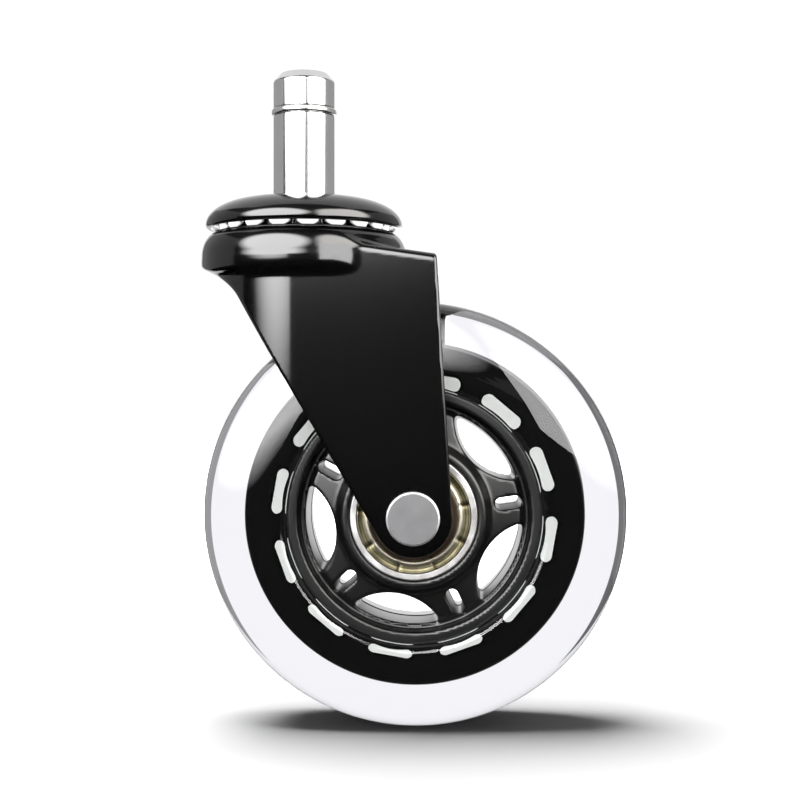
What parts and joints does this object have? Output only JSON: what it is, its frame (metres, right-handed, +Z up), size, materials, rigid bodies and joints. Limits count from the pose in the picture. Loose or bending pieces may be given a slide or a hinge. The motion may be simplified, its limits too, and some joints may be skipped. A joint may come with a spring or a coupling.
{
  "type": "swivel chair caster",
  "caption": "Swivel chair caster: plated grip-ring stem, black pressed fork on a double ball race, and a clear urethane wheel on a spoked black hub with shielded ball bearings.",
  "frame": {"origin": "on the swivel axis, in the plane where the chair leg's socket sits on the cap's flat top", "axes": "+Z up along the stem; +X towards the trailing wheel; +Y along the wheel's axle, away from the side seen in the picture"},
  "size_m": [0.0759, 0.0368, 0.1163],
  "materials": {
    "plated_steel": "bright zinc-plated turned steel",
    "spring_steel": "bright spring steel",
    "black_paint": "gloss black enamel on pressed steel",
    "race_steel": "black-oxide hardened steel, oiled",
    "ball_steel": "polished bearing steel",
    "satin_steel": "satin zinc-plated steel",
    "bearing_steel": "ground bearing steel",
    "shield_steel": "pressed sheet, pale yellow passivated",
    "black_nylon": "black moulded nylon, semi-gloss",
    "clear_urethane": "clear cast polyurethane"
  },
  "bodies": {
    "stem": {"stem": "plated_steel", "grip_ring": "spring_steel", "top_cap": "black_paint", "lower_race_cup": "race_steel"},
    "fork": {"fork": "black_paint", "crown_race": "race_steel", "axle_rivet": "satin_steel", "axle_spacer_left": "satin_steel", "axle_spacer_right": "satin_steel", "bearing_inner_ring_left": "bearing_steel", "bearing_inner_ring_right": "bearing_steel", "bearing_sleeve": "satin_steel"},
    "wheel": {"wheel_hub": "black_nylon", "tyre": "clear_urethane", "bearing_outer_ring_left": "bearing_steel", "bearing_outer_ring_right": "bearing_steel", "bearing_shield_left_outside": "shield_steel", "bearing_shield_left_inside": "shield_steel", "bearing_shield_right_outside": "shield_steel", "bearing_shield_right_inside": "shield_steel"},
    "upper_balls": {"upper_ball_01": "ball_steel", "upper_ball_02": "ball_steel", "upper_ball_03": "ball_steel", "upper_ball_04": "ball_steel", "upper_ball_05": "ball_steel", "upper_ball_06": "ball_steel", "upper_ball_07": "ball_steel", "upper_ball_08": "ball_steel", "upper_ball_09": "ball_steel", "upper_ball_10": "ball_steel", "upper_ball_11": "ball_steel", "upper_ball_12": "ball_steel", "upper_ball_13": "ball_steel", "upper_ball_14": "ball_steel", "upper_ball_15": "ball_steel", "upper_ball_16": "ball_steel", "upper_ball_17": "ball_steel", "upper_ball_18": "ball_steel"},
    "lower_balls": {"lower_ball_01": "ball_steel", "lower_ball_02": "ball_steel", "lower_ball_03": "ball_steel", "lower_ball_04": "ball_steel", "lower_ball_05": "ball_steel", "lower_ball_06": "ball_steel", "lower_ball_07": "ball_steel", "lower_ball_08": "ball_steel", "lower_ball_09": "ball_steel", "lower_ball_10": "ball_steel", "lower_ball_11": "ball_steel", "lower_ball_12": "ball_steel"},
    "left_bearing_balls": {"bearing_balls_left": "ball_steel"},
    "right_bearing_balls": {"bearing_balls_right": "ball_steel"}
  },
  "joints": [
    {"name": "swivel", "type": "hinge", "parent": "stem", "child": "fork", "pos_m": [0, 0, 0], "axis": [0, 0, 1], "continuous": true},
    {"name": "wheel_spin", "type": "hinge", "parent": "fork", "child": "wheel", "pos_m": [0.02, 0, -0.0561], "axis": [0, 1, 0], "continuous": true},
    {"name": "upper_ball_orbit", "type": "hinge", "parent": "stem", "child": "upper_balls", "pos_m": [0, 0, 0], "axis": [0, 0, 1], "continuous": true},
    {"name": "lower_ball_orbit", "type": "hinge", "parent": "stem", "child": "lower_balls", "pos_m": [0, 0, 0], "axis": [0, 0, 1], "continuous": true},
    {"name": "left_bearing_orbit", "type": "hinge", "parent": "fork", "child": "left_bearing_balls", "pos_m": [0.02, 0, -0.0561], "axis": [0, 1, 0], "continuous": true},
    {"name": "right_bearing_orbit", "type": "hinge", "parent": "fork", "child": "right_bearing_balls", "pos_m": [0.02, 0, -0.0561], "axis": [0, 1, 0], "continuous": true}
  ],
  "couplings": [
    {"joint": "upper_ball_orbit", "follows": "swivel", "ratio": 0.5},
    {"joint": "lower_ball_orbit", "follows": "swivel", "ratio": 0.5},
    {"joint": "left_bearing_orbit", "follows": "wheel_spin", "ratio": 0.632},
    {"joint": "right_bearing_orbit", "follows": "wheel_spin", "ratio": 0.632}
  ]
}
